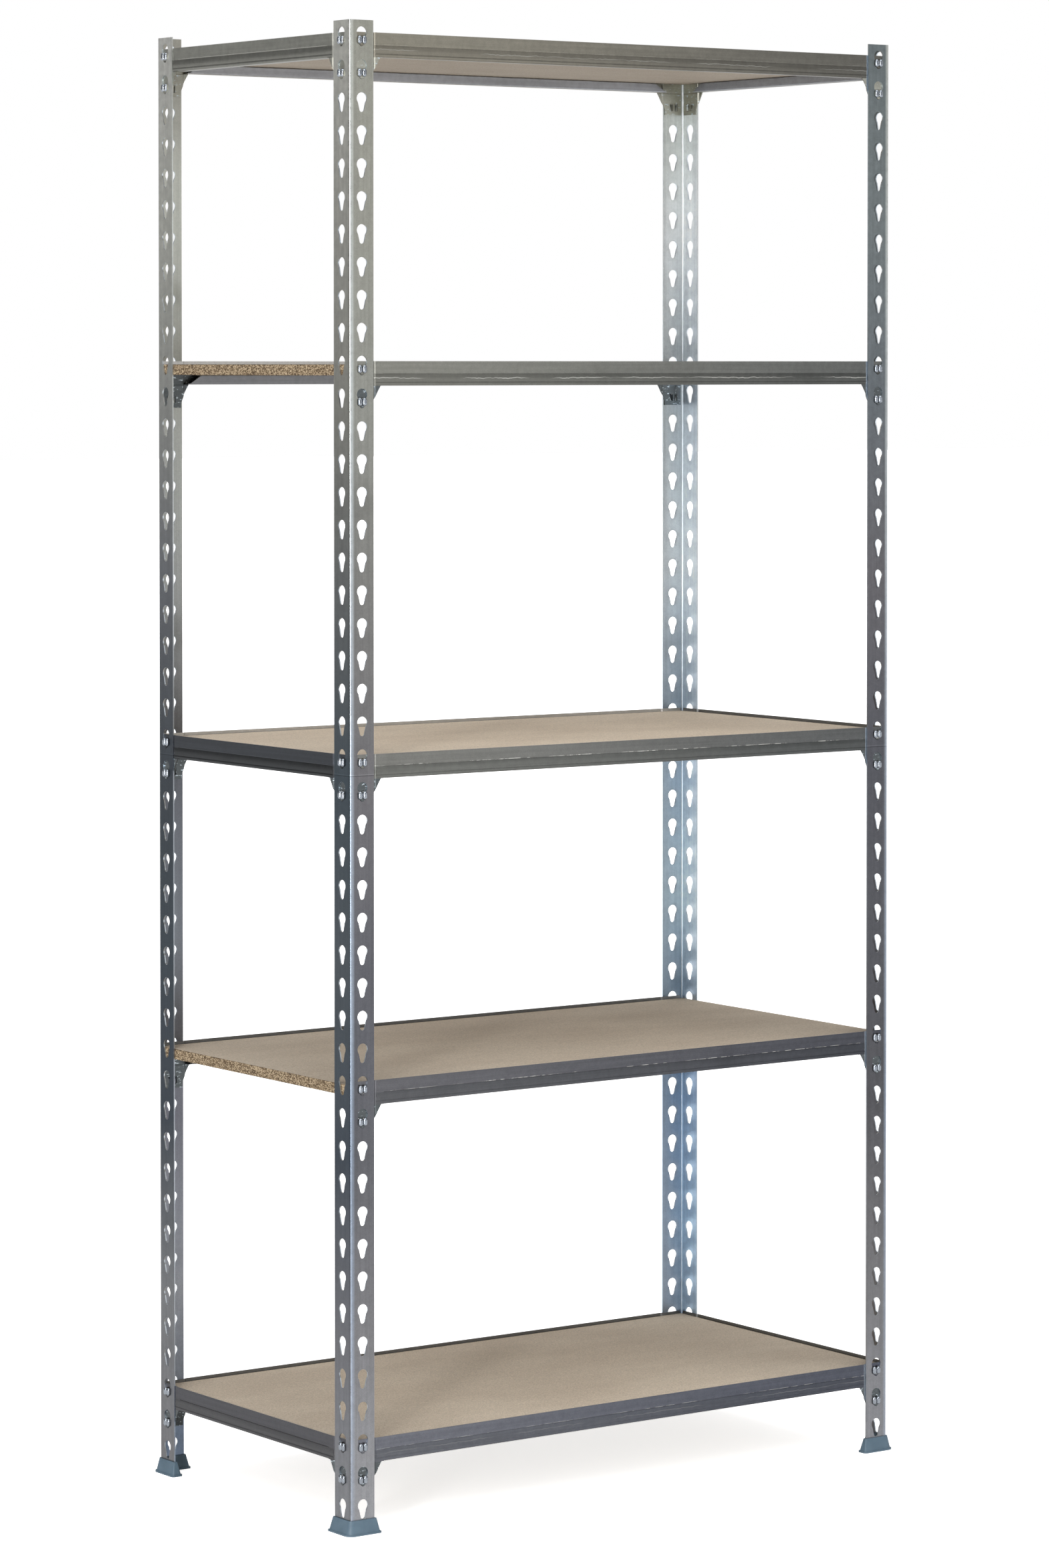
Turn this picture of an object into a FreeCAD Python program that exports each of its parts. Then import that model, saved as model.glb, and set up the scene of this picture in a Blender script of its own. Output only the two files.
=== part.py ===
import FreeCAD, Part
import math
import os
import re

import Sketcher

# Boltless steel shelving: four corner posts of keyhole angle, each in two halves, on plastic
# feet, with five levels of hook-in beams that carry loose chipboard boards.
# Millimetres. X is the width, Y the depth with the front at -Y, Z up. The origin is on the
# floor, at the middle of the four feet.

V = FreeCAD.Vector
OUT = "parts"

# Driving dimensions. Lengths are in millimetres, and the rest are counts.
SIZES = {
    # the whole unit, over the outer faces of the posts
    "width": 850,
    "depth": 445,
    # posts
    "pitch": 40,            # from one keyhole to the next
    "holes": 23,            # keyholes in each flange of a half post
    "leg": 35,              # flange width over the bend
    "gauge": 1.5,           # sheet thickness of the posts
    "bend": 3,              # outer radius of the fold
    "row": 18,              # outer corner to the centre line of the keyholes
    "margin": 8,            # end of a half post to the first keyhole
    "keyhole": 24,          # height of a keyhole
    "eye": 7.4,             # radius of its round top
    "shoulder": 5.6,        # half width of its tail, at the top of the tail
    "toe": 3.6,             # radius of the tail's round end
    # feet
    "foot": 18,             # height of a foot
    "sole": 11,             # floor to the end of the post
    "rim": 2,               # height of the lip round its base
    "soft": 1.5,            # radius of its inner corners
    "lip": 7.5,             # how far the lip stands out from the post
    "flare": 6,             # how far the wall stands out, above the lip
    "wall": 2,              # how far the wall stands out, at the top
    "fit": 0.25,            # clearance of the post in the foot
    # beams
    "skin": 1.2,            # sheet thickness of the beams
    "face": 30,             # height of a beam's face
    "ledge": 17.5,          # top edge to the ledge that carries the board
    "box": 12,              # depth of the hollow lower half, behind the face
    "fold": 1.4,            # radius of its outer corners
    "line": 14.5,           # top edge to the groove in the face
    "groove": 1.3,          # height of that groove
    "crease": 0.35,         # depth of that groove
    "swell": 25,            # radius of the long swell below the groove
    "roll": 4,              # radius of the small roll below the swell
    "parting": 4.6,         # lower edge of the face up to where the roll meets the swell
    "slant": 21,            # how far the hollow half is cut back at the ledge, at each end
    # end plates, measured from the edge of the post's flange
    "joggle": 3,            # back to the end of the beam's face
    "ease": 1,              # back to the end of the step that the joggle makes
    "web": 14,              # back to the plate's inner end
    "gusset": 10.5,         # back to the top of the gusset's slanted edge
    "tuck": 2,              # on to the foot of the slanted edge
    "tail": 24,             # height of the slanted edge
    "hollow": 120,          # radius of the slanted edge
    "plate": 60,            # height of the end plates
    "gap": 0.1,             # clearance between an end plate and its flange
    "end_room": 4,          # tip of an end plate to the post's other flange
    "seat": 6.6,            # top of a keyhole down to the top edge of the beam hooked there
    "slot_place": 3.95,     # middle of a hook out to the slot on either side
    "slot_width": 4.5,
    "slot_height": 9,
    "dimple": 3,            # radius of the round pressing
    "pressing": 0.4,        # depth of the pressings
    "pressed_line": 8.5,    # underside of the beam down to the pressed line
    # hooks, two on each end plate
    "lobe": 3.25,           # radius of the two half-round beads of a hook
    "spread": 3.35,         # half the distance between their centres
    "bead": 10.5,           # height of a bead
    "drop": 16.25,          # top of a keyhole down to the middle of the hook seated in it
    "collar": 4.2,          # middle of a hook up to the top of its neck
    "weld": 0.4,            # how far the neck reaches into the beads
    "neck": 3.2,            # half width of the hook's neck
    # boards
    "board": 13.5,          # thickness
    "play": 0.2,            # clearance round a board
}

# The keyhole, counted down each post from its top, that takes a level's upper hooks.
LEVEL_HOLES = (0, 10, 22, 32, 43)
# Levels with beams on all four sides. The others have only the two long beams.
FOUR_BEAM_LEVELS = (1, 3, 5)
HALVES = 2
HOOK_SPACING = 1            # keyholes between the two hooks of an end plate

doc = FreeCAD.newDocument("shelving")
sheet = doc.addObject("Spreadsheet::Sheet", "Sizes")
for line, (alias, size) in enumerate(SIZES.items(), start=1):
    sheet.set(f"A{line}", str(size))
    sheet.setAlias(f"A{line}", alias)
doc.recompute()

parts = []


def bound(text):
    """An expression over the sheet: each driving dimension's name becomes its cell."""
    return re.sub(r"[a-z_]+", lambda word: "Sizes." + word[0] if word[0] in SIZES else word[0],
                  str(text))


def value(text):
    """The number that an expression over the sheet gives now."""
    result = sheet.evalExpression(bound(text))
    return float(getattr(result, "Value", result))


def new_body(label):
    body = doc.addObject("PartDesign::Body", label)
    body.Label = label
    parts.append(body)
    return body


def new_sketch(body, name, plane, offset=None):
    """A sketch on one of the body's own origin planes, moved by offset in the plane's axes."""
    sketch = body.newObject("Sketcher::SketchObject", name)
    support = [part for part in body.Origin.OriginFeatures if part.Role == plane][0]
    sketch.AttachmentSupport = [(support, "")]
    sketch.MapMode = "FlatFace"
    for axis, text in zip("xyz", offset or ()):
        sketch.setExpression(f"AttachmentOffset.Base.{axis}", bound(text))
    return sketch


def arc_between(start, end, radius):
    """The short arc from start to end: counter-clockwise where radius is positive."""
    chord = end - start
    middle = (start + end) * 0.5
    rise = math.sqrt(max(radius ** 2 - (chord.Length / 2) ** 2, 0))
    side = V(-chord.y, chord.x, 0).normalize() * (rise if radius > 0 else -rise)
    centre = middle + side
    first, last = (start, end) if radius > 0 else (end, start)
    angles = [math.atan2(point.y - centre.y, point.x - centre.x) for point in (first, last)]
    if angles[1] < angles[0]:
        angles[1] += 2 * math.pi
    circle = Part.Circle(centre, V(0, 0, 1), abs(radius))
    return Part.ArcOfCircle(circle, *angles)


def outline(sketch, corners):
    """A closed outline. Each corner is x, y and, where an arc leads on to the next corner,
    its radius: positive for a counter-clockwise arc."""
    points = [V(value(corner[0]), value(corner[1]), 0) for corner in corners]
    edges = []
    for i, corner in enumerate(corners):
        start, end = points[i], points[(i + 1) % len(points)]
        if len(corner) == 2:
            edge = sketch.addGeometry(Part.LineSegment(start, end), False)
            edges.append((edge, 1, 2))
            continue
        radius = value(corner[2])
        edge = sketch.addGeometry(arc_between(start, end, radius), False)
        edges.append((edge, 1, 2) if radius > 0 else (edge, 2, 1))
        size = sketch.addConstraint(Sketcher.Constraint("Radius", edge, abs(radius)))
        sketch.setExpression(f"Constraints[{size}]", bound(f"abs({corner[2]})"))
    for i, (edge, start, end) in enumerate(edges):
        following = edges[(i + 1) % len(edges)]
        sketch.addConstraint(
            Sketcher.Constraint("Coincident", edge, end, following[0], following[1]))
        for kind, axis in (("DistanceX", 0), ("DistanceY", 1)):
            place = sketch.addConstraint(
                Sketcher.Constraint(kind, -1, 1, edge, start, points[i][axis]))
            sketch.setExpression(f"Constraints[{place}]", bound(corners[i][axis]))


def rectangle(sketch, left, bottom, right, top):
    outline(sketch, [(left, bottom), (right, bottom), (right, top), (left, top)])


def circle(sketch, x, y, radius):
    ring = sketch.addGeometry(
        Part.Circle(V(value(x), value(y), 0), V(0, 0, 1), value(radius)), False)
    for kind, size in (("DistanceX", x), ("DistanceY", y)):
        place = sketch.addConstraint(Sketcher.Constraint(kind, -1, 1, ring, 3, value(size)))
        sketch.setExpression(f"Constraints[{place}]", bound(size))
    size = sketch.addConstraint(Sketcher.Constraint("Radius", ring, value(radius)))
    sketch.setExpression(f"Constraints[{size}]", bound(radius))


def angle_outline(sketch, grow, outer_radius, inner_radius, tip_radius=None):
    """The L-shaped section of a post, grown outwards by grow on every side. Its outer corner
    is at the origin, and its flanges run along +X and +Y."""
    low, high, wall = f"-({grow})", f"leg + {grow}", f"gauge + {grow}"
    outer, inner = outer_radius, inner_radius
    if tip_radius is None:
        outline(sketch, [
            (f"{low} + {outer}", low), (high, low), (high, wall),
            (f"{wall} + {inner}", wall, f"-({inner})"), (wall, f"{wall} + {inner}"),
            (wall, high), (low, high), (low, f"{low} + {outer}", outer)])
        return
    tip = tip_radius
    outline(sketch, [
        (f"{low} + {outer}", low), (f"{high} - {tip}", low, tip),
        (high, f"{low} + {tip}"), (high, f"{wall} - {tip}", tip),
        (f"{high} - {tip}", wall),
        (f"{wall} + {inner}", wall, f"-({inner})"), (wall, f"{wall} + {inner}"),
        (wall, f"{high} - {tip}", tip), (f"{wall} - {tip}", high),
        (f"{low} + {tip}", high, tip), (low, f"{high} - {tip}"),
        (low, f"{low} + {outer}", outer)])


def pad(body, name, sketch, length, reverse=False, back_length=None):
    """Material from the sketch: along its normal, or both ways where back_length is given."""
    feature = body.newObject("PartDesign::Pad", name)
    feature.Profile = sketch
    feature.setExpression("Length", bound(length))
    feature.Reversed = reverse
    if back_length is not None:
        feature.SideType = "Two sides"
        feature.setExpression("Length2", bound(back_length))
    sketch.Visibility = False
    return feature


def pocket(body, name, sketch, length, reverse=False, symmetric=False):
    feature = body.newObject("PartDesign::Pocket", name)
    feature.Profile = sketch
    feature.Reversed = reverse
    feature.setExpression("Length", bound(length))
    if symmetric:
        feature.SideType = "Symmetric"
    sketch.Visibility = False
    return feature


# The posts

def keyhole_outline(sketch):
    """One keyhole, at the top of its row: a round eye that narrows to a tapering tail."""
    top = "holes * pitch - margin"
    throat = f"{top} - eye - sqrt(eye ^ 2 - shoulder ^ 2)"
    toe_centre = f"{top} - keyhole + toe"
    outline(sketch, [
        ("row + shoulder", throat, "eye"), ("row", top, "eye"),
        ("row - shoulder", throat), ("row - toe", toe_centre, "toe"),
        ("row", f"{top} - keyhole", "toe"), ("row + toe", toe_centre)])


def keyhole_row(body, name, plane, axis, reverse):
    """The keyholes of one flange, cut at the top and repeated down the post."""
    sketch = new_sketch(body, f"{name}_keyhole", plane)
    keyhole_outline(sketch)
    hole = pocket(body, f"{name}_hole", sketch, "leg", reverse)
    row = body.newObject("PartDesign::LinearPattern", f"{name}_row")
    row.Originals = [hole]
    row.Direction = (axis, [""])
    row.Reversed = True
    row.setExpression("Length", bound("pitch * (holes - 1)"))
    row.Occurrences = SIZES["holes"]
    body.Tip = row


def make_half_post(label):
    """Half of a corner post, standing on the origin, with its flanges along +X and +Y."""
    body = new_body(label)
    section = new_sketch(body, "section", "XY_Plane")
    angle_outline(section, "0", "bend", "(bend - gauge)")
    pad(body, "angle", section, "holes * pitch")
    up = [part for part in body.Origin.OriginFeatures if part.Role == "Z_Axis"][0]
    keyhole_row(body, "front", "XZ_Plane", up, False)
    keyhole_row(body, "side", "YZ_Plane", up, True)
    return body


# The feet

def make_foot(label):
    """A moulded foot: a lip, a flared L-shaped wall, and the slot that takes the post."""
    body = new_body(label)
    base = new_sketch(body, "base", "XY_Plane")
    angle_outline(base, "lip", "(bend + lip)", "soft", "lip * 0.6")
    pad(body, "lip_ring", base, "rim")
    low = new_sketch(body, "low_wall", "XY_Plane", ("0", "0", "rim"))
    angle_outline(low, "flare", "(bend + flare)", "soft", "flare * 0.6")
    high = new_sketch(body, "high_wall", "XY_Plane", ("0", "0", "foot"))
    angle_outline(high, "wall", "(bend + wall)", "soft", "wall * 0.6")
    loft = body.newObject("PartDesign::AdditiveLoft", "flared_wall")
    loft.Profile = low
    loft.Sections = [high]
    loft.Ruled = True
    slot = new_sketch(body, "slot", "XY_Plane", ("0", "0", "foot"))
    angle_outline(slot, "fit", "(bend + fit)", "(bend - gauge)")
    pocket(body, "post_slot", slot, "foot - sole")
    return body


# The beams

def beam_section(sketch):
    """The folded section, with the beam's inner side towards +X of the sketch. The sheet runs
    down the face, under, up the inner wall and back along the ledge to the face."""
    outline(sketch, [
        ("0", "0"), ("-skin", "0"),
        ("-skin", "-line"), ("-skin + crease", "-line - groove / 2"),
        ("-skin", "-line - groove", "swell"), ("-skin", "-face + parting", "roll"),
        ("-skin", "-face + fold", "fold"), ("-skin + fold", "-face"),
        ("box - fold", "-face", "fold"), ("box", "-face + fold"),
        ("box", "-ledge - fold", "fold"), ("box - fold", "-ledge"),
        ("0", "-ledge")])
    outline(sketch, [
        ("0", "-ledge - skin", "swell"), ("0", "-face + parting"),
        ("0", "-face + skin"), ("box - skin", "-face + skin"),
        ("box - skin", "-ledge - skin")])


def end_plate(body, reach):
    """The plate at the +X end: it steps behind the flange, hangs below the beam as a gusset,
    and is pierced beside each hook. Returns its features."""
    edge = f"({reach} - leg)"
    near, far = "(gauge - skin + gap)", "(gauge + gap)"
    tip = f"{reach} - gauge - end_room"
    plan = new_sketch(body, "plate_plan", "XY_Plane")
    outline(plan, [
        (f"{edge} - web", "-skin"), (f"{edge} - joggle", "-skin"),
        (f"{edge} - ease", near), (tip, near),
        (tip, far), (f"{edge} - ease - crease", far),
        (f"{edge} - joggle - crease", "0"), (f"{edge} - web", "0")])
    features = [pad(body, "plate", plan, "plate", reverse=True)]

    gusset = new_sketch(body, "gusset_edge", "XZ_Plane")
    outline(gusset, [
        (f"{edge} - web - 1", "-face"), (f"{edge} - gusset", "-face", "-hollow"),
        (f"{edge} + tuck", "-face - tail"), (f"{edge} + tuck", "-plate - 1"),
        (f"{edge} - web - 1", "-plate - 1")])
    features.append(pocket(body, "gusset", gusset, "box", symmetric=True))

    slots = new_sketch(body, "slots", "XZ_Plane")
    for hook in range(HOOK_SPACING + 1):
        middle = f"seat - drop - {hook} * pitch"
        for side in (-1, 1):
            centre = f"{reach} - row + {side} * slot_place"
            rectangle(slots, f"{centre} - slot_width / 2", f"{middle} - slot_height / 2",
                      f"{centre} + slot_width / 2", f"{middle} + slot_height / 2")
    features.append(pocket(body, "hook_slots", slots, "box", symmetric=True))

    pressings = new_sketch(body, "pressings_outline", "XZ_Plane", ("0", "0", "-(gauge + gap)"))
    circle(pressings, f"{reach} - row + dimple / 2", "-face - dimple - 1", "dimple")
    rectangle(pressings, f"{edge} + tuck + 1", "-face - pressed_line - 1",
              f"{tip} - 1", "-face - pressed_line")
    features.append(pocket(body, "pressings", pressings, "pressing", reverse=True))
    return features


def end_bevel(body, reach):
    """The slanted end of the hollow lower half, which is cut back most at the ledge."""
    end = f"({reach} - leg - joggle)"
    top = "-ledge + 0.01"
    bevel = new_sketch(body, "bevel_outline", "XZ_Plane")
    outline(bevel, [
        (f"{end} - joggle", "-face + skin"), (f"{end} + 1", "-face + skin"),
        (f"{end} + 1", top), (f"{end} - slant", top)])
    return pocket(body, "bevel", bevel, "box + 2")


def hooks(body, reach):
    """Two hooks on the end plate: a flat neck through the keyhole, and two upright half-round
    beads outside the flange. Returns their features."""
    heights = [f"(seat - drop - {hook} * pitch)" for hook in range(HOOK_SPACING + 1)]
    necks = new_sketch(body, "necks", "XZ_Plane")
    x = f"({reach} - row)"
    for middle in heights:
        toe = f"{middle} + drop - keyhole + toe"
        outline(necks, [
            (f"{x} - neck", f"{middle} + collar"), (f"{x} - neck", toe, "neck"),
            (x, f"{toe} - neck", "neck"), (f"{x} + neck", toe),
            (f"{x} + neck", f"{middle} + collar")])
    features = [pad(body, "hook_necks", necks, "skin + weld",
                    back_length="gauge - skin + gap")]
    for side, name in ((-1, "inner"), (1, "outer")):
        beads = new_sketch(body, f"{name}_beads", "XZ_Plane",
                           (f"{x} + {side} * spread", "0", "skin + gap"))
        for middle in heights:
            outline(beads, [
                ("0", f"{middle} - bead / 2", "lobe"), ("lobe", f"{middle} - bead / 2 + lobe"),
                ("lobe", f"{middle} + bead / 2 - lobe", "lobe"), ("0", f"{middle} + bead / 2")])
        turned = body.newObject("PartDesign::Revolution", f"{name}_hook_beads")
        turned.Profile = beads
        turned.ReferenceAxis = (beads, ["V_Axis"])
        turned.Angle = 180
        turned.Reversed = True
        beads.Visibility = False
        features.append(turned)
    return features


def make_beam(label, length):
    """A beam along X, with its top edge at Z = 0 and the back of its face at Y = 0. Its two
    ends are alike, so one is made and mirrored."""
    body = new_body(label)
    section = new_sketch(body, "section", "YZ_Plane")
    beam_section(section)
    rail = pad(body, "rail", section, f"{length} - 2 * (leg + joggle)")
    rail.SideType = "Symmetric"
    reach = f"{length} / 2"
    features = end_plate(body, reach)
    features.append(end_bevel(body, reach))
    features += hooks(body, reach)
    mirror = body.newObject("PartDesign::Mirrored", "other_end")
    mirror.Originals = features
    middle = [part for part in body.Origin.OriginFeatures if part.Role == "YZ_Plane"][0]
    mirror.MirrorPlane = (middle, [""])
    body.Tip = mirror
    return body


# The boards

def make_board(label, half_width):
    """A plain chipboard panel, placed by its lower front left corner."""
    panel = doc.addObject("Part::Box", label)
    panel.Label = label
    panel.setExpression("Length", bound(f"2 * ({half_width})"))
    panel.setExpression("Width", bound("depth - 2 * (gauge + gap + skin + play)"))
    panel.setExpression("Height", bound("board"))
    parts.append(panel)
    return panel


def place(piece, x, y, z, turn=0):
    """Sets a piece down at a place given as expressions, turned about Z by degrees."""
    for axis, text in zip("xyz", (x, y, z)):
        piece.setExpression(f"Placement.Base.{axis}", bound(text))
    piece.setExpression("Placement.Rotation.Axis.z", "1")
    piece.setExpression("Placement.Rotation.Angle", str(turn))


CORNERS = {
    "front_left": ("-width / 2", "-depth / 2", 0),
    "front_right": ("width / 2", "-depth / 2", 90),
    "back_right": ("width / 2", "depth / 2", 180),
    "back_left": ("-width / 2", "depth / 2", 270),
}
for corner, (x, y, turn) in CORNERS.items():
    place(make_foot(f"foot_{corner}"), x, y, "0", turn)
    for half, name in enumerate(("lower", "upper")):
        z = f"sole + {half} * holes * pitch"
        place(make_half_post(f"upright_{name}_{corner}"), x, y, z, turn)

for level, hole in enumerate(LEVEL_HOLES, start=1):
    top = f"sole + {HALVES} * holes * pitch - margin - {hole} * pitch - seat"
    back = "depth / 2 - skin"
    place(make_beam(f"level_{level}_beam_front", "width"), "0", f"-({back})", top)
    place(make_beam(f"level_{level}_beam_back", "width"), "0", back, top, 180)
    half_width = "width / 2 - gauge - play"
    if level in FOUR_BEAM_LEVELS:
        end = "width / 2 - skin"
        place(make_beam(f"level_{level}_beam_left", "depth"), f"-({end})", "0", top, 270)
        place(make_beam(f"level_{level}_beam_right", "depth"), end, "0", top, 90)
        half_width = "width / 2 - (gauge + gap + skin + play)"
    place(make_board(f"level_{level}_board", half_width), f"-({half_width})",
          "-(depth / 2 - (gauge + gap + skin + play))", f"{top} - ledge")

doc.recompute()

for item in doc.Objects:
    if {"Invalid", "Error"} & set(item.State):
        raise RuntimeError(f"{item.Label} did not recompute: {item.State}")
for part in parts:
    if part.Shape.isNull() or not part.Shape.isValid() or len(part.Shape.Solids) != 1:
        raise RuntimeError(f"{part.Label} is not one sound solid")

os.makedirs(OUT, exist_ok=True)
for part in parts:
    part.Shape.exportStep(os.path.join(OUT, f"{part.Label}.step"))
print(f"{len(parts)} parts written")
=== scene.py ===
import math

import bpy
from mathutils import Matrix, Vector


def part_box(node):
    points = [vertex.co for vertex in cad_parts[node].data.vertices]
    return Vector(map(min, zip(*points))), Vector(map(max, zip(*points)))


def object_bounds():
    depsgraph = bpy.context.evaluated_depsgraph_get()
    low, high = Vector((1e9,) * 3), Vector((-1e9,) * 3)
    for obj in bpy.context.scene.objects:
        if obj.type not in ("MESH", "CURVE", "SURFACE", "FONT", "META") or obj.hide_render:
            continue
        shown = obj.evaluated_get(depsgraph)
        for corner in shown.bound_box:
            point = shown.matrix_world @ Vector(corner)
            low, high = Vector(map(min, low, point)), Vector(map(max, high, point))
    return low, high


# Looks for a boltless steel shelving unit: galvanised posts and beams, raw chipboard boards
# and moulded plastic feet. Metres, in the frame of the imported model.

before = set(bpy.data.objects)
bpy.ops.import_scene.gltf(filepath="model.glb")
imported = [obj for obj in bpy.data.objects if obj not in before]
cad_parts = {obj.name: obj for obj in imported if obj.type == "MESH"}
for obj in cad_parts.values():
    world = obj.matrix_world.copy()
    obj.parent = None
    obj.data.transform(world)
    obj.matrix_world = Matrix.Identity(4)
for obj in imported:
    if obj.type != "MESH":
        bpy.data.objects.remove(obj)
CAD_BOX = [list(corner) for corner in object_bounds()]

CORNERS = ("front_left", "front_right", "back_right", "back_left")

# The posts: their top, the seam of their halves, and their outer faces from the middle.
POST_TOP = CAD_BOX[1][2]
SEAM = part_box("upright_lower_front_left")[1][2]
POST_HALF_WIDTH, POST_HALF_DEPTH = (-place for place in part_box("upright_lower_front_left")[0][:2])
POST_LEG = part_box("upright_lower_front_left")[1][0] + POST_HALF_WIDTH
# From a post's outer corner to the middle of its keyholes.
KEYHOLE_ROW = 0.018

# Down from a beam's top edge: the groove in its face, the ledge under the board, the lower edge
# of the face, and the middle of the slots beside the lower hook. Then half that slot's height,
# and its sides from the middle of the hook.
GROOVE_DROP = 0.0146
LEDGE_DROP = 0.0174
FACE_DROP = 0.0301
SLOT_DROP = 0.04965
SLOT_HALF_HEIGHT = 0.00515
SLOT_NEAR, SLOT_FAR = 0.0010, 0.0069

# The camera: where it stands, the heading and dip of its view in degrees, and its lens.
CAMERA_PLACE = (-3.811, -5.3125, 1.432)
CAMERA_HEADING = 35.625
CAMERA_DIP = 1.562
CAMERA_LENS = 115.4
CAMERA_SHIFT = -0.18

# Softboxes: name, place, size and watts.
SOFTBOXES = (
    ("key", (2.6, -4.6, 1.3), (1.6, 3.6), 10),
    ("bend_strip", (-4.0, -2.9, 1.1), (0.45, 3.2), 130),
)
# The even light from above: strength, width in degrees and direction.
SKY_LIGHT = 2.1
SKY_WIDTH = 70
SKY_FROM = (-0.2, -0.35, 1.0)
# How far the floor's shadows are lifted to white.
FLOOR_GLOW = 0.7
# The room's light: its level, how much it swings, the direction where it is brightest, and
# the least that it falls to.
ROOM_LIGHT = 0.42
ROOM_SWING = 0.15
BRIGHT_SIDE = (0.55, -0.45, 0.7)
LEAST_LIGHT = 0.05


class Material:
    """A procedural material. Each method adds a node and returns the socket that it gives."""

    def __init__(self, name):
        self.material = bpy.data.materials.new(name)
        self.material.use_nodes = True
        self.nodes = self.material.node_tree.nodes
        self.links = self.material.node_tree.links
        self.shader = self.nodes["Principled BSDF"]
        self.place = self.nodes.new("ShaderNodeTexCoord").outputs["Object"]

    def feed(self, socket, value):
        """Links a socket to another, or sets it to a number or a colour."""
        if isinstance(value, bpy.types.NodeSocket):
            self.links.new(value, socket)
        else:
            socket.default_value = value

    def math(self, operation, *values):
        node = self.nodes.new("ShaderNodeMath")
        node.operation = operation
        for socket, value in zip(node.inputs, values):
            self.feed(socket, value)
        return node.outputs[0]

    def axis(self, name, vector=None):
        node = self.nodes.new("ShaderNodeSeparateXYZ")
        self.feed(node.inputs[0], vector or self.place)
        return node.outputs[name]

    def stretched(self, scale, shift=(0, 0, 0)):
        """The place in the frame, scaled by (x, y, z) and moved, for a texture to read."""
        node = self.nodes.new("ShaderNodeMapping")
        self.feed(node.inputs["Vector"], self.place)
        node.inputs["Scale"].default_value = scale
        node.inputs["Location"].default_value = shift
        return node.outputs[0]

    def noise(self, scale, detail=3.0, roughness=0.5, stretch=(1, 1, 1), shift=(0, 0, 0)):
        node = self.nodes.new("ShaderNodeTexNoise")
        self.feed(node.inputs["Vector"], self.stretched(stretch, shift))
        node.inputs["Scale"].default_value = scale
        node.inputs["Detail"].default_value = detail
        node.inputs["Roughness"].default_value = roughness
        return node.outputs["Fac"]

    def remap(self, value, low, high, to_low=0.0, to_high=1.0):
        """Carries low..high over to to_low..to_high, smoothly and clamped."""
        node = self.nodes.new("ShaderNodeMapRange")
        node.interpolation_type = "SMOOTHSTEP"
        for socket, number in zip(node.inputs, (value, low, high, to_low, to_high)):
            self.feed(socket, number)
        return node.outputs[0]

    def ramp(self, value, stops):
        """A colour read off a ramp of (position, colour) stops."""
        node = self.nodes.new("ShaderNodeValToRGB")
        self.feed(node.inputs[0], value)
        elements = node.color_ramp.elements
        while len(elements) < len(stops):
            elements.new(1.0)
        for element, (position, colour) in zip(elements, stops):
            element.position = position
            element.color = (*colour, 1)
        return node.outputs["Color"]

    def mix(self, factor, first, second, blend="MIX"):
        node = self.nodes.new("ShaderNodeMix")
        node.data_type = "RGBA"
        node.blend_type = blend
        node.clamp_factor = True
        for socket, value in zip((node.inputs[0], node.inputs[6], node.inputs[7]),
                                 (factor, first, second)):
            self.feed(socket, (*value, 1) if isinstance(value, tuple) else value)
        return node.outputs[2]

    def shade(self, colour, factor):
        """The colour, lit up or down by a grey factor about 1."""
        node = self.nodes.new("ShaderNodeVectorMath")
        node.operation = "SCALE"
        self.feed(node.inputs[0], colour)
        self.feed(node.inputs["Scale"], factor)
        return node.outputs[0]

    def bump(self, height, strength, distance):
        node = self.nodes.new("ShaderNodeBump")
        node.inputs["Strength"].default_value = strength
        node.inputs["Distance"].default_value = distance
        self.feed(node.inputs["Height"], height)
        self.feed(self.shader.inputs["Normal"], node.outputs[0])

    def finish(self, colour, roughness, metallic=0.0, **sockets):
        self.feed(self.shader.inputs["Base Color"], colour)
        self.feed(self.shader.inputs["Roughness"], roughness)
        self.shader.inputs["Metallic"].default_value = metallic
        for name, number in sockets.items():
            self.shader.inputs[name.replace("_", " ")].default_value = number
        return self.material


def srgb(*numbers):
    """A colour given as 0 to 255 screen values, in the linear values that shaders use."""
    shares = [number / 255 for number in numbers]
    return tuple(s / 12.92 if s <= 0.04045 else ((s + 0.055) / 1.055) ** 2.4 for s in shares)


def spread_tones(m, height, tones):
    """A ramp of colours at even steps of height, the first at its foot."""
    return m.ramp(height, [(i / (len(tones) - 1), srgb(*tone)) for i, tone in enumerate(tones)])


def band(m, value, low, high, soft=0.0002):
    """1 where value lies between low and high, in metres, and 0 beyond soft edges."""
    return m.math("MULTIPLY", m.remap(value, low - soft, low + soft),
                  m.remap(value, high - soft, high + soft, 1.0, 0.0))


def from_outside(m, place, half):
    """How far in from the outer face at plus or minus half a place is."""
    return m.math("SUBTRACT", half, m.math("ABSOLUTE", place))


def true_normal(m):
    return m.nodes.new("ShaderNodeNewGeometry").outputs["True Normal"]


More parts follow.
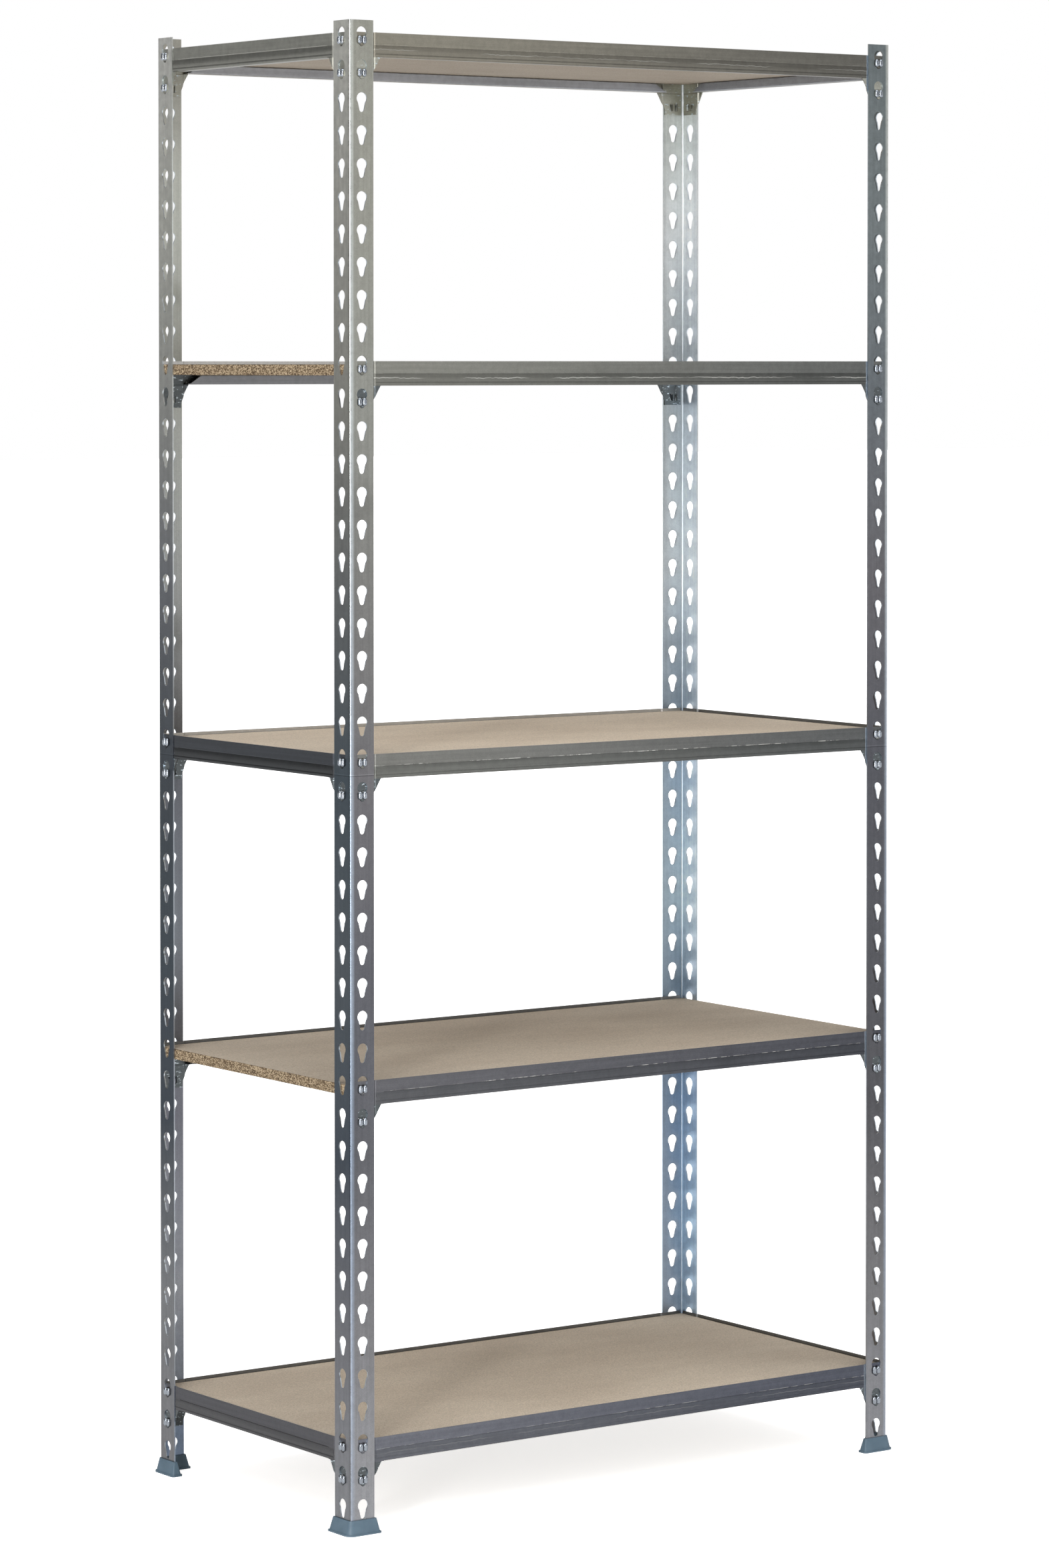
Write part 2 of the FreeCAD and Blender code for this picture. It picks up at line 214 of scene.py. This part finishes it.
def zinc(m, tone, grain, seed, polish):
    """Lays the zinc's mottling, rolling streaks, grain and smudges over a tone, and finishes
    the sheet. grain is the stretch of the streaks, and polish is 1 where it is smooth."""
    mottle = m.remap(m.noise(120, 4, 0.65, shift=(seed, 0, 0)), 0.3, 0.7, 0.93, 1.07)
    streak = m.remap(m.noise(1, 3, 0.6, grain, (0, seed, 0)), 0.3, 0.7, 0.93, 1.07)
    fine = m.remap(m.noise(1400, 2), 0.3, 0.7, 0.93, 1.07)
    smudge = m.remap(m.noise(9, 3, 0.55, shift=(0, 0, seed)), 0.5, 0.8)
    factor = m.remap(smudge, 0, 1, 1.0, 0.92)
    for part in (mottle, streak, fine):
        factor = m.math("MULTIPLY", factor, part)
    rough = m.math("ADD", m.remap(smudge, 0, 1, 0.36, 0.46),
                   m.remap(mottle, 0.93, 1.07, -0.03, 0.03))
    rough = m.math("MULTIPLY_ADD", polish, -0.16, rough)
    m.bump(m.noise(900, 3, 0.6), 0.12, 0.0002)
    return m.finish(m.shade(tone, factor), rough, metallic=1.0)


def post_steel(corner, seed):
    """A post: one run of tones up the flange that looks along Y and one up the other, with painted
    shade and reflections in them, painted highlights on the folds and cut edges, and a line where
    the two halves meet."""
    m = Material(f"post_steel_{corner}")
    x, y, z = (m.axis(name) for name in "XYZ")
    normal = true_normal(m)
    normal_x, normal_y = m.axis("X", normal), m.axis("Y", normal)
    facing_x, facing_y = (m.math("ABSOLUTE", part) for part in (normal_x, normal_y))
    height = m.math("DIVIDE", z, POST_TOP)
    face_tones, side_tones = POST_TONES[corner]
    tone = m.mix(m.remap(facing_x, 0.5, 0.8), spread_tones(m, height, face_tones),
                 spread_tones(m, height, side_tones))
    inward = from_outside(m, x, POST_HALF_WIDTH), from_outside(m, y, POST_HALF_DEPTH)
    both, farther = m.math("ADD", *inward), m.math("MAXIMUM", *inward)

    # The outer fold has a painted highlight on the half that turns to Y and a little way onto the
    # flange.
    fold = m.remap(both, 0.0026, 0.0032, 1.0, 0.0)
    turned = m.remap(m.math("SUBTRACT", *inward), -0.0006, 0.0006)
    fade = m.math("MULTIPLY", m.remap(inward[0], 0.0028, 0.0075, 0.7, 0.0),
                  m.remap(inward[1], 0.0004, 0.0010, 1.0, 0.0))
    shine = m.math("MULTIPLY", m.math("MAXIMUM", fold, fade), turned)
    tone = m.mix(shine, tone, spread_tones(m, height, FOLD_HIGHLIGHT_TONES))
    # The rest of the fold is darkened with painted shade.
    tone = m.shade(tone, m.remap(m.math("SUBTRACT", fold, shine), 0, 1, 1.0, 0.8))

    # The inside of the fold has a painted glint at the top of the post.
    inner = m.math("MULTIPLY", band(m, both, 0.0038, 0.0046, 0.0001),
                   m.remap(m.math("MINIMUM", *inward), 0.0014, 0.0016))
    glint = m.math("MULTIPLY", m.remap(m.noise(90, 3, 0.7, (0.2, 0.2, 1)), 0.35, 0.6, 0.3, 1.0),
                   m.remap(height, 0.85, 0.95, 0.12, 1.0))
    tone = m.mix(m.math("MULTIPLY", inner, glint), tone, INNER_FOLD_GLINT)

    # The cut edges of the keyholes look along their own flange and carry a painted highlight, and
    # so does, less bright, the flange's free edge.
    on_side = m.math("LESS_THAN", *inward)
    square = m.math("ADD", m.math("MULTIPLY", on_side, facing_x),
                    m.math("MULTIPLY", m.math("SUBTRACT", 1, on_side), facing_y))
    cut = m.math("MULTIPLY", m.remap(square, 0.4, 0.6, 1.0, 0.0),
                 m.remap(farther, 0.0040, 0.0045))
    cut = m.math("MULTIPLY", cut, m.remap(farther, 0.0338, 0.0342, 1.0, 0.3))
    tone = m.mix(cut, tone, srgb(*CUT_HIGHLIGHT_TONE))

    # The flange's free edge is lit up a little as a painted highlight. Where the two halves meet, a
    # dark line lies below the seam and a painted highlight above it.
    edge = m.remap(farther, 0.0342, 0.0346, 1.0, 1.2)
    seam = m.math("SUBTRACT", z, SEAM)
    line = m.math("ADD", m.remap(band(m, seam, 0.0002, 0.0010), 0, 1, 0.0, 0.45),
                  m.remap(band(m, seam, -0.0012, 0.0), 0, 1, 0.0, -0.35))
    tone = m.shade(tone, m.math("ADD", edge, line))
    # The sides that look to the back and to the right are darker, a painted shade against the
    # room's light.
    rear_shade = m.remap(m.math("MAXIMUM", normal_x, normal_y), 0.4, 0.6, 1.0, 0.8)
    return zinc(m, m.shade(tone, rear_shade), (260, 260, 5), seed, m.math("MULTIPLY", fold, 0.4))


def beam_steel(level, long_way, seed):
    """A beam of one level, along X where long_way: the flat upper half of its face, the lower
    half, its inner side and its end plates have tones of their own, which hold painted light and
    shade. On that lie painted highlights along the groove and a ripple below it and, outside the
    posts, the polished beads of the hooks."""
    m = Material(f"beam_steel_{level}_{'long' if long_way else 'short'}")
    x, y, z = (m.axis(name) for name in "XYZ")
    normal = true_normal(m)
    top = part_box(f"level_{level}_beam_front")[1][2]
    drop = m.math("SUBTRACT", top, z)
    across, half, along, half_length = (
        (y, POST_HALF_DEPTH, x, POST_HALF_WIDTH) if long_way
        else (x, POST_HALF_WIDTH, y, POST_HALF_DEPTH))
    upper, lower, inner = BEAM_TONES[level][0 if long_way else 1]
    tone = m.mix(m.remap(drop, GROOVE_DROP, GROOVE_DROP + 0.0012), srgb(*upper), srgb(*lower))
    facing = m.math("MULTIPLY", m.axis("Y" if long_way else "X", normal), m.math("SIGN", across))
    if long_way:
        # Painted shade darkens the front beams towards their right-hand end.
        front = m.remap(y, -0.01, 0.01, 1.0, 0.0)
        fade = m.remap(x, -1.2 * POST_HALF_WIDTH, 1.2 * POST_HALF_WIDTH)
        tone = m.mix(m.math("MULTIPLY", front, fade), tone, RIGHT_END_SHADE, "MULTIPLY")
    inward = m.remap(facing, -0.6, -0.4, 1.0, 0.0)
    tone = m.mix(inward, tone, srgb(*inner))

    # The plate is seen below the beam and, on the inner side, past the hollow half's slant.
    web = m.math("MULTIPLY", inward,
                 m.remap(from_outside(m, across, half), 0.0060, 0.0066, 1.0, 0.0))
    plate = m.math("MAXIMUM", m.remap(drop, FACE_DROP, FACE_DROP + 0.0002), web)
    smear = m.remap(m.noise(1, 3, 0.6, (140, 140, 380), (seed, 0, 0)), 0.6, 0.66)
    tone = m.mix(plate, tone, srgb(*(TOP_PLATE_LIT_TONE if level == 1 else PLATE_TONE)))
    tone = m.mix(m.math("MULTIPLY", plate, smear), tone, srgb(*SMEAR_TONE))
    # Painted shade: a dark line along the plate's top and dark edges round the slots beside its
    # lower hook.
    off_row = m.math("ABSOLUTE", m.math("SUBTRACT", m.math("ABSOLUTE", along),
                                        half_length - KEYHOLE_ROW))
    slot = m.math("MULTIPLY", band(m, off_row, SLOT_NEAR, SLOT_FAR, 0.0001),
                  band(m, drop, SLOT_DROP - SLOT_HALF_HEIGHT, SLOT_DROP + SLOT_HALF_HEIGHT,
                       0.0001))
    dark = m.math("MAXIMUM", band(m, drop, FACE_DROP - 0.0001, FACE_DROP + 0.0011, 0.0001), slot)
    tone = m.shade(tone, m.remap(m.math("MULTIPLY", dark, inward), 0, 1, 1.0, 0.65))

    # Painted highlights on the long beams: dashes along the groove and a ripple below it.
    dash_highlight, ripple_highlight = BEAM_HIGHLIGHTS[level] if long_way else (0.0, 0.0)
    dash = m.remap(m.noise(1, 3, 0.6, (110, 110, 0), (seed, seed, 0)), 0.42, 0.58)
    patch = m.remap(m.noise(1, 2, 0.5, (9, 9, 0), (0, seed, seed)), 0.42, 0.55)
    dashes = m.math("MULTIPLY", m.math("MULTIPLY", dash, patch),
                    band(m, drop, GROOVE_DROP - 0.0003, GROOVE_DROP + 0.0003, 0.0001))
    wander = m.math("MULTIPLY_ADD", m.noise(1, 2, 0.6, (70, 70, 0), (seed, 0, 0)), 0.004,
                    m.math("SUBTRACT", drop, GROOVE_DROP + 0.008))
    ripple = m.math("MULTIPLY", band(m, wander, -0.0004, 0.0004, 0.0002), patch)
    highlight_mask = m.math("ADD", m.math("MULTIPLY", dashes, dash_highlight), m.math("MULTIPLY", ripple, ripple_highlight))
    outer = m.remap(facing, 0.4, 0.6)
    tone = m.mix(m.math("MULTIPLY", highlight_mask, outer), tone, srgb(*BEAM_HIGHLIGHT_TONE))

    rim_tone = RIM_TONE
    if long_way:
        rim_tone = LONG_RIM_TONES.get(level, RIM_TONE)
        # A painted highlight on the step beside the right-hand post.
        step_end = POST_HALF_WIDTH - POST_LEG
        step = band(m, x, step_end - 0.0036, step_end + 0.0003)
        tone = m.mix(m.math("MULTIPLY", step, outer), tone, srgb(*STEP_HIGHLIGHT_TONE))
        # The step beside the left-hand post looks to the left, and is darkened with painted shade.
        tone = m.shade(tone, m.remap(m.axis("X", normal), -0.6, -0.2, 0.62, 1.0))
    # The top edges and the inner rims above the boards take the rim tone, painted light and shade.
    above_ledge = m.remap(drop, LEDGE_DROP - 0.0002, LEDGE_DROP + 0.0002, 1.0, 0.0)
    rim = m.math("MAXIMUM", m.remap(m.axis("Z", normal), 0.5, 0.7),
                 m.math("MULTIPLY", inward, above_ledge))
    tone = m.mix(rim, tone, srgb(*rim_tone))
    bead = m.remap(m.math("SUBTRACT", m.math("ABSOLUTE", across), half), 0.0010, 0.0014)
    tone = m.mix(bead, tone, srgb(*BEAD_TONE))
    return zinc(m, tone, (5, 200, 260) if long_way else (200, 5, 260), seed, bead)


# Colours from the floor to the top of each post, evenly spaced: the flange that looks along Y,
# then the one that looks along X. They aren't the zinc's colour alone. They also hold the shade
# and reflections that the real unit shows at each height, and were fitted to its look.
FRONT_RIGHT_RUN = ((143, 144, 149), (119, 119, 121), (88, 88, 92), (90, 91, 96),
                   (89, 90, 96), (107, 106, 110), (109, 115, 120), (120, 127, 129),
                   (116, 124, 126))
POST_TONES = {
    "front_left": (((155, 156, 160), (129, 129, 132), (100, 101, 106), (98, 99, 105),
                    (113, 112, 115), (125, 125, 123), (146, 147, 141), (153, 153, 145),
                    (157, 157, 148)),
                   ((135, 137, 141), (109, 110, 115), (62, 70, 80), (77, 84, 90),
                    (66, 76, 84), (104, 107, 108), (143, 143, 137), (176, 175, 169),
                    (206, 206, 199))),
    "front_right": (FRONT_RIGHT_RUN, FRONT_RIGHT_RUN),
    "back_right": (((150, 157, 166), (141, 150, 162), (108, 120, 133), (137, 148, 156),
                    (130, 141, 151), (150, 153, 155), (150, 154, 154), (170, 171, 171),
                    (178, 181, 174)),
                   ((204, 222, 240), (201, 228, 250), (188, 210, 235), (236, 248, 255),
                    (222, 236, 250), (240, 249, 255), (222, 233, 246), (244, 250, 254),
                    (228, 234, 236))),
    "back_left": (((147, 167, 196), (151, 155, 163), (112, 113, 121), (121, 126, 133),
                   (95, 97, 103), (148, 150, 148), (163, 165, 160), (185, 187, 179),
                   (173, 173, 166)),
                  ((124, 124, 127), (116, 118, 121), (55, 63, 72), (59, 68, 76),
                   (61, 67, 74), (107, 110, 115), (151, 152, 149), (188, 189, 182),
                   (210, 210, 205))),
}
# The painted highlights on the outer folds from the floor up, and the painted glint inside the
# fold.
FOLD_HIGHLIGHT_TONES = ((166, 173, 185), (144, 156, 173), (170, 180, 192), (205, 211, 212),
              (205, 208, 202))
INNER_FOLD_GLINT = (0.72, 0.75, 0.78)
# Colours of each level's long and short beams: the upper half of the face, the lower half and
# the inner side. They hold painted light and shade as well as the zinc's colour.
BEAM_TONES = {
    1: (((143, 139, 127), (130, 126, 115), (166, 168, 173)),
        ((157, 157, 150), (127, 127, 121), (150, 152, 156))),
    2: (((138, 138, 131), (114, 114, 108), (130, 132, 136)), None),
    3: (((125, 125, 121), (112, 113, 109), (130, 132, 136)),
        ((64, 67, 72), (55, 57, 59), (115, 117, 121))),
    4: (((103, 103, 107), (94, 95, 98), (120, 122, 128)), None),
    5: (((113, 115, 123), (104, 106, 112), (120, 122, 128)),
        ((84, 84, 88), (84, 84, 86), (115, 117, 121))),
}
# Painted shade: what the front beams' tones are multiplied by at their right-hand end.
RIGHT_END_SHADE = (0.53, 0.55, 0.60)
# The painted highlight, a bright strip beside the right-hand post at the long beams' ends.
STEP_HIGHLIGHT_TONE = (150, 160, 170)
# The beams' top edges and the inner rims above the boards, in painted light and shade, lighter on
# two levels' long beams.
RIM_TONE = (122, 124, 125)
LONG_RIM_TONES = {2: (225, 226, 226), 3: (192, 191, 188)}
# The end plates, their tone at the top level lifted with painted light against the board's shade,
# and the pale smears on them.
PLATE_TONE = (92, 97, 99)
TOP_PLATE_LIT_TONE = (166, 166, 156)
SMEAR_TONE = (200, 212, 220)
# The painted highlights along the beams' groove and below it, the hooks' beads, and the painted
# highlights on the cut edges of the posts.
BEAM_HIGHLIGHT_TONE = (232, 232, 226)
BEAD_TONE = (150, 156, 164)
CUT_HIGHLIGHT_TONE = (205, 214, 222)
# How strong the long beams' painted highlights, dashes along the groove and a ripple below it,
# are at each level.
BEAM_HIGHLIGHTS = {1: (0.1, 0.25), 2: (0.0, 0.6), 3: (0.9, 0.0), 4: (0.7, 0.0), 5: (0.4, 0.1)}
# How light the upper and lower faces of each level's board are, as painted light and shade.
BOARD_TONES = {1: (1.0, 0.63), 2: (1.0, 0.75), 3: (1.22, 0.8), 4: (0.88, 0.8), 5: (0.95, 0.8)}


def chipboard(level):
    """Raw chipboard: sanded faces with fine flecks, and edges of coarse chips."""
    m = Material(f"chipboard_{level}")
    normal = true_normal(m)
    cloud = m.remap(m.noise(5, 3, 0.6, (1, 2.5, 1), (level, 0, 0)), 0.3, 0.7)
    face = m.mix(cloud, srgb(190, 177, 159), srgb(182, 168, 150))
    fleck = m.remap(m.noise(620, 4, 0.75, (1, 0.7, 1)), 0.38, 0.62, 0.82, 1.16)
    dark = m.remap(m.noise(230, 3, 0.6, (1, 0.5, 1)), 0.6, 0.72, 1.0, 0.88)
    face = m.shade(face, m.math("MULTIPLY", fleck, dark))
    top, under = BOARD_TONES[level]
    # The middle and back, which the shelf above shades, are painted a little paler to lift that
    # shade.
    shade_lift = m.math("MULTIPLY",
                  m.remap(m.math("ABSOLUTE", m.axis("X")), 0.15, 0.40, 1.08, 0.9),
                  m.remap(m.axis("Y"), -0.2, 0.15, 0.96, 1.12))
    face = m.shade(face, m.mix(m.remap(m.axis("Z", normal), -0.5, 0.5), (under,) * 3,
                               m.math("MULTIPLY", shade_lift, top)))
    chips = m.remap(m.noise(360, 4, 0.7, (1, 1, 2.0), (0, 0, level)), 0.4, 0.6)
    edge = m.ramp(chips, ((0.0, srgb(66, 50, 32)), (0.3, srgb(97, 77, 51)),
                          (0.6, srgb(132, 111, 83)), (1.0, srgb(176, 158, 130))))
    low, high = (corner[2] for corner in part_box(f"level_{level}_board"))
    off_middle = m.math("ABSOLUTE", m.math("SUBTRACT", m.axis("Z"), (low + high) / 2))
    half = (high - low) / 2
    edge = m.shade(edge, m.remap(off_middle, half - 0.0010, half - 0.0004, 1.0, 0.7))
    flat = m.math("ABSOLUTE", m.axis("Z", normal))
    colour = m.mix(flat, edge, face)
    relief = m.math("ADD", m.math("MULTIPLY", m.noise(500, 3, 0.7), 0.3),
                    m.math("MULTIPLY", m.math("SUBTRACT", 1, flat), chips))
    m.bump(relief, 0.35, 0.0006)
    return m.finish(colour, 0.78)


def foot_plastic():
    """Moulded blue-grey plastic with a fine matt texture."""
    m = Material("foot_plastic")
    cloud = m.remap(m.noise(60, 3), 0.3, 0.7)
    colour = m.mix(cloud, srgb(74, 94, 108), srgb(84, 104, 118))
    m.bump(m.noise(1800, 2), 0.15, 0.0002)
    return m.finish(colour, m.remap(m.noise(240, 2), 0.3, 0.7, 0.42, 0.55))


def dress(node, material):
    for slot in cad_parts[node].material_slots:
        slot.material = material


def dress_all():
    posts = {corner: post_steel(corner, float(seed)) for seed, corner in enumerate(CORNERS)}
    beams = {}
    plastic = foot_plastic()
    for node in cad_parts:
        if node.startswith("foot"):
            dress(node, plastic)
        elif node.startswith("upright"):
            dress(node, posts[node.split("_", 2)[2]])
        elif node.endswith("board"):
            dress(node, chipboard(int(node.split("_")[1])))
        else:
            kind = int(node.split("_")[1]), node.endswith(("front", "back"))
            if kind not in beams:
                beams[kind] = beam_steel(*kind, seed=float(10 + len(beams)))
            dress(node, beams[kind])


def make_floor():
    """A plain pale floor that reaches past the horizon of the view."""
    bpy.ops.mesh.primitive_plane_add(size=120, location=(0, 0, CAD_BOX[0][2]))
    floor = bpy.context.object
    floor.name = "floor"
    m = Material("floor_paint")
    seen = m.nodes.new("ShaderNodeLightPath").outputs["Is Camera Ray"]
    m.feed(m.shader.inputs["Emission Strength"], m.math("MULTIPLY", seen, FLOOR_GLOW))
    m.finish((0.93, 0.93, 0.93, 1), 0.9, Emission_Color=(1, 1, 1, 1))
    floor.data.materials.append(m.material)


def make_camera():
    data = bpy.data.cameras.new("camera")
    data.lens = CAMERA_LENS
    data.sensor_width = 36
    data.shift_y = CAMERA_SHIFT
    camera = bpy.data.objects.new("camera", data)
    camera.location = CAMERA_PLACE
    camera.rotation_euler = (math.radians(90 - CAMERA_DIP), 0, math.radians(-CAMERA_HEADING))
    bpy.context.collection.objects.link(camera)
    bpy.context.scene.camera = camera


def softbox(name, place, target, size, watts):
    """A large area light at a place, turned to a target."""
    data = bpy.data.lights.new(name, "AREA")
    data.shape = "RECTANGLE"
    data.size, data.size_y = size
    data.energy = watts
    light = bpy.data.objects.new(name, data)
    light.location = place
    aim = Vector(target) - Vector(place)
    light.rotation_euler = aim.to_track_quat("-Z", "Y").to_euler()
    bpy.context.collection.objects.link(light)


def make_world():
    """Seen directly the room is white. What it lends to lighting and reflections is brightest
    overhead and falls off towards the back left."""
    world = bpy.data.worlds.new("studio")
    bpy.context.scene.world = world
    world.use_nodes = True
    tree = world.node_tree
    background = tree.nodes["Background"]
    background.inputs["Color"].default_value = (1, 1, 1, 1)

    def math_node(operation, *values):
        node = tree.nodes.new("ShaderNodeMath")
        node.operation = operation
        for socket, value in zip(node.inputs, values):
            if isinstance(value, bpy.types.NodeSocket):
                tree.links.new(value, socket)
            else:
                socket.default_value = value
        return node.outputs[0]

    direction = tree.nodes.new("ShaderNodeTexCoord").outputs["Generated"]
    dot = tree.nodes.new("ShaderNodeVectorMath")
    dot.operation = "DOT_PRODUCT"
    tree.links.new(direction, dot.inputs[0])
    dot.inputs[1].default_value = BRIGHT_SIDE
    glow = math_node("MULTIPLY_ADD", dot.outputs["Value"], ROOM_SWING, ROOM_LIGHT)
    glow = math_node("MAXIMUM", glow, LEAST_LIGHT)
    seen = tree.nodes.new("ShaderNodeLightPath").outputs["Is Camera Ray"]
    tree.links.new(math_node("MAXIMUM", glow, seen), background.inputs["Strength"])


def make_lights():
    middle = (0, 0, CAD_BOX[1][2] / 2)
    for name, place, size, watts in SOFTBOXES:
        softbox(name, place, middle, size, watts)
    sky = bpy.data.lights.new("sky", "SUN")
    sky.energy = SKY_LIGHT
    sky.angle = math.radians(SKY_WIDTH)
    light = bpy.data.objects.new("sky", sky)
    light.rotation_euler = Vector(SKY_FROM).to_track_quat("Z", "Y").to_euler()
    bpy.context.collection.objects.link(light)
    bpy.context.scene.view_settings.view_transform = "Standard"


make_camera()
make_world()
make_lights()
make_floor()
dress_all()
